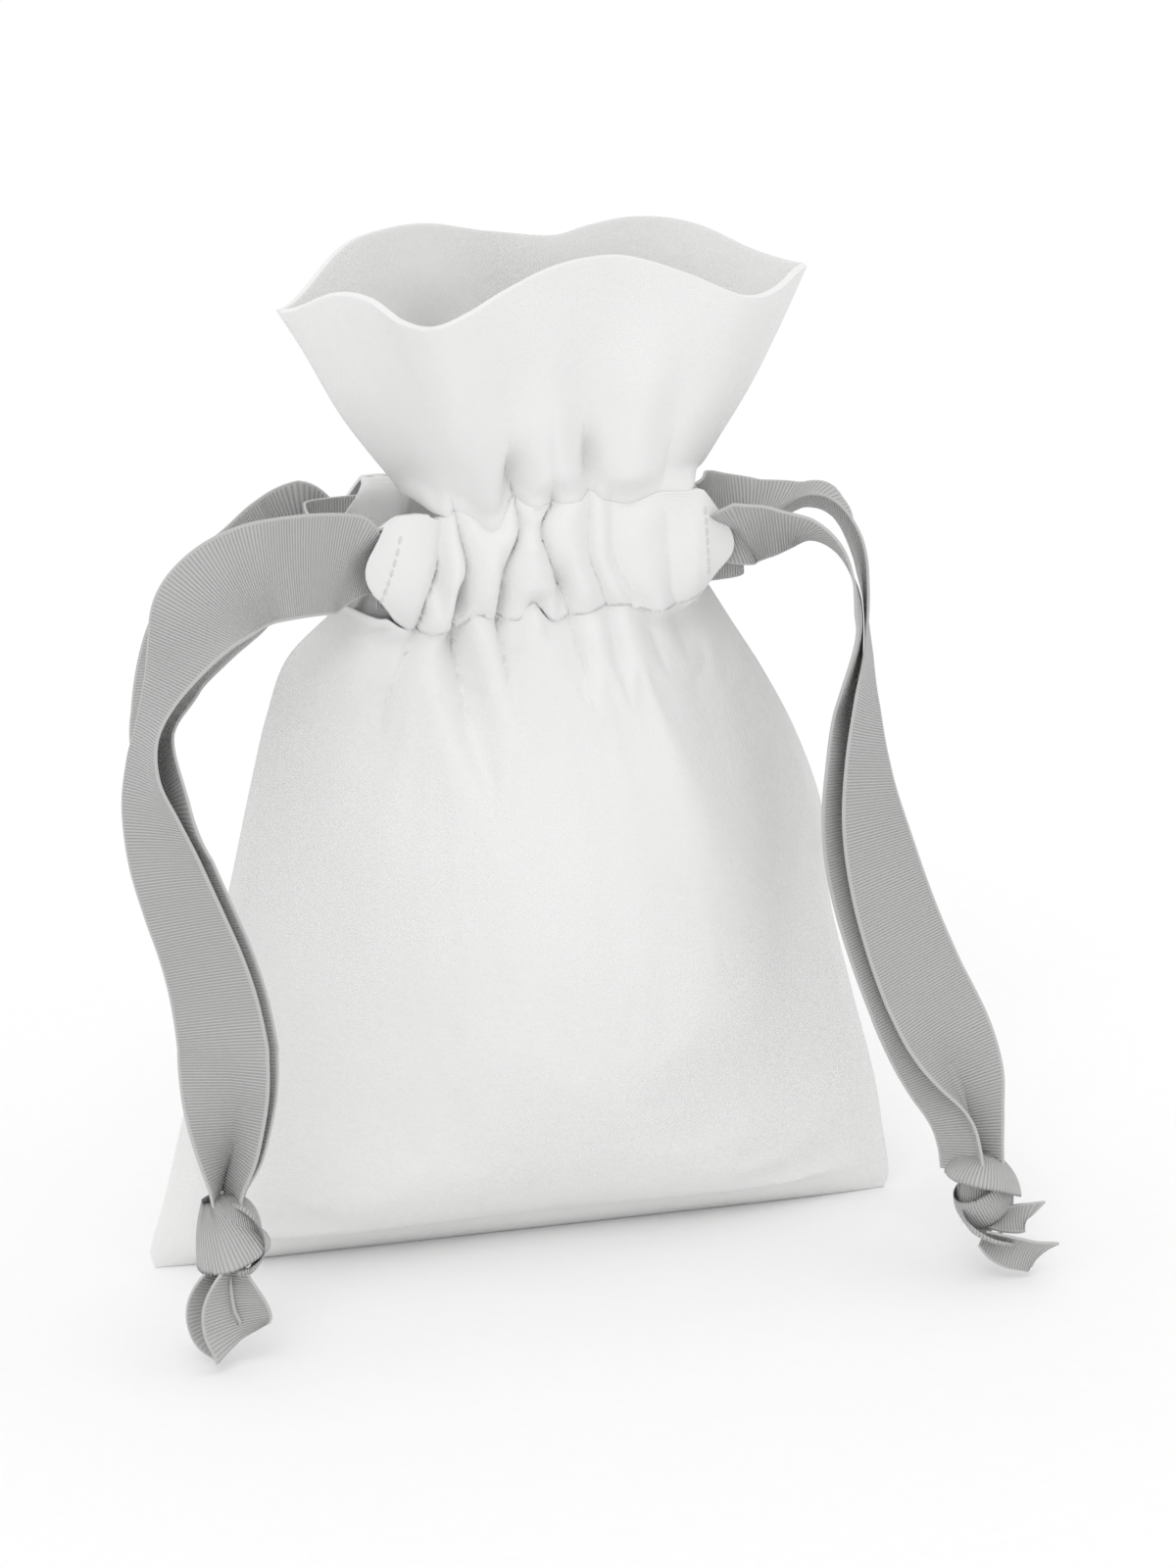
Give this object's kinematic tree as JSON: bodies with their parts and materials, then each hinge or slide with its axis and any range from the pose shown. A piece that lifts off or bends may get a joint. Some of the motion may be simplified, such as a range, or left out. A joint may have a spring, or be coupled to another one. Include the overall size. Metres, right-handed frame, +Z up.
{
  "type": "drawstring gift pouch",
  "caption": "Standing cotton gift pouch with a frilled open mouth, gathered by grosgrain ribbon drawstrings that hang from both sides and end in knots.",
  "frame": {"origin": "middle of the bottom seam, on the surface the pouch stands on", "axes": "+Z up, the front faces -Y, +X to the right seen from the front"},
  "size_m": [0.1654, 0.0834, 0.1852],
  "materials": {
    "white_cotton": "matt plain-weave cotton",
    "white_thread": "sewing thread",
    "grey_ribbon": "ribbed grosgrain with a slight sheen"
  },
  "bodies": {
    "pouch": {"front_panel": "white_cotton", "back_panel": "white_cotton", "front_casing": "white_cotton", "back_casing": "white_cotton", "front_casing_upper_stitching": "white_thread", "front_casing_lower_stitching": "white_thread", "front_left_mouth_stitching": "white_thread", "front_right_mouth_stitching": "white_thread", "back_casing_upper_stitching": "white_thread", "back_casing_lower_stitching": "white_thread", "back_left_mouth_stitching": "white_thread", "back_right_mouth_stitching": "white_thread", "left_side_seam_stitching": "white_thread", "right_side_seam_stitching": "white_thread", "bottom_seam_stitching": "white_thread"},
    "front_frill": {"front_heading": "white_cotton"},
    "back_frill": {"back_heading": "white_cotton"},
    "left_ribbon": {"left_ribbon_in_casing": "grey_ribbon", "left_front_ribbon_upper": "grey_ribbon", "left_back_ribbon_upper": "grey_ribbon"},
    "left_ribbon_end": {"left_front_ribbon_lower": "grey_ribbon", "left_back_ribbon_lower": "grey_ribbon", "left_knot": "grey_ribbon", "left_front_tail": "grey_ribbon", "left_back_tail": "grey_ribbon"},
    "right_ribbon": {"right_ribbon_in_casing": "grey_ribbon", "right_front_ribbon_upper": "grey_ribbon", "right_back_ribbon_upper": "grey_ribbon"},
    "right_ribbon_end": {"right_front_ribbon_lower": "grey_ribbon", "right_back_ribbon_lower": "grey_ribbon", "right_knot": "grey_ribbon", "right_front_tail": "grey_ribbon", "right_back_tail": "grey_ribbon"}
  },
  "joints": [
    {"name": "left_ribbon_pull", "type": "slide", "parent": "pouch", "child": "left_ribbon", "axis": [-1, 0, 0], "range_m": [0, 0.008]},
    {"name": "right_ribbon_pull", "type": "slide", "parent": "pouch", "child": "right_ribbon", "axis": [1, 0, 0], "range_m": [0, 0.008]},
    {"name": "left_end_swing", "type": "hinge", "parent": "left_ribbon", "child": "left_ribbon_end", "pos_m": [-0.0735, -0.031, 0.112], "axis": [0, 1, 0], "range_deg": [0, 45]},
    {"name": "right_end_swing", "type": "hinge", "parent": "right_ribbon", "child": "right_ribbon_end", "pos_m": [0.0568, -0.0215, 0.115], "axis": [0, -1, 0], "range_deg": [0, 35]},
    {"name": "front_mouth_open", "type": "hinge", "parent": "pouch", "child": "front_frill", "pos_m": [0, -0.0135, 0.1408], "axis": [1, 0, 0], "range_deg": [0, 14]},
    {"name": "back_mouth_open", "type": "hinge", "parent": "pouch", "child": "back_frill", "pos_m": [0, 0.0135, 0.1408], "axis": [-1, 0, 0], "range_deg": [0, 14]}
  ],
  "couplings": [
    {"joint": "right_ribbon_pull", "follows": "left_ribbon_pull", "ratio": 1},
    {"joint": "back_mouth_open", "follows": "front_mouth_open", "ratio": 1}
  ]
}
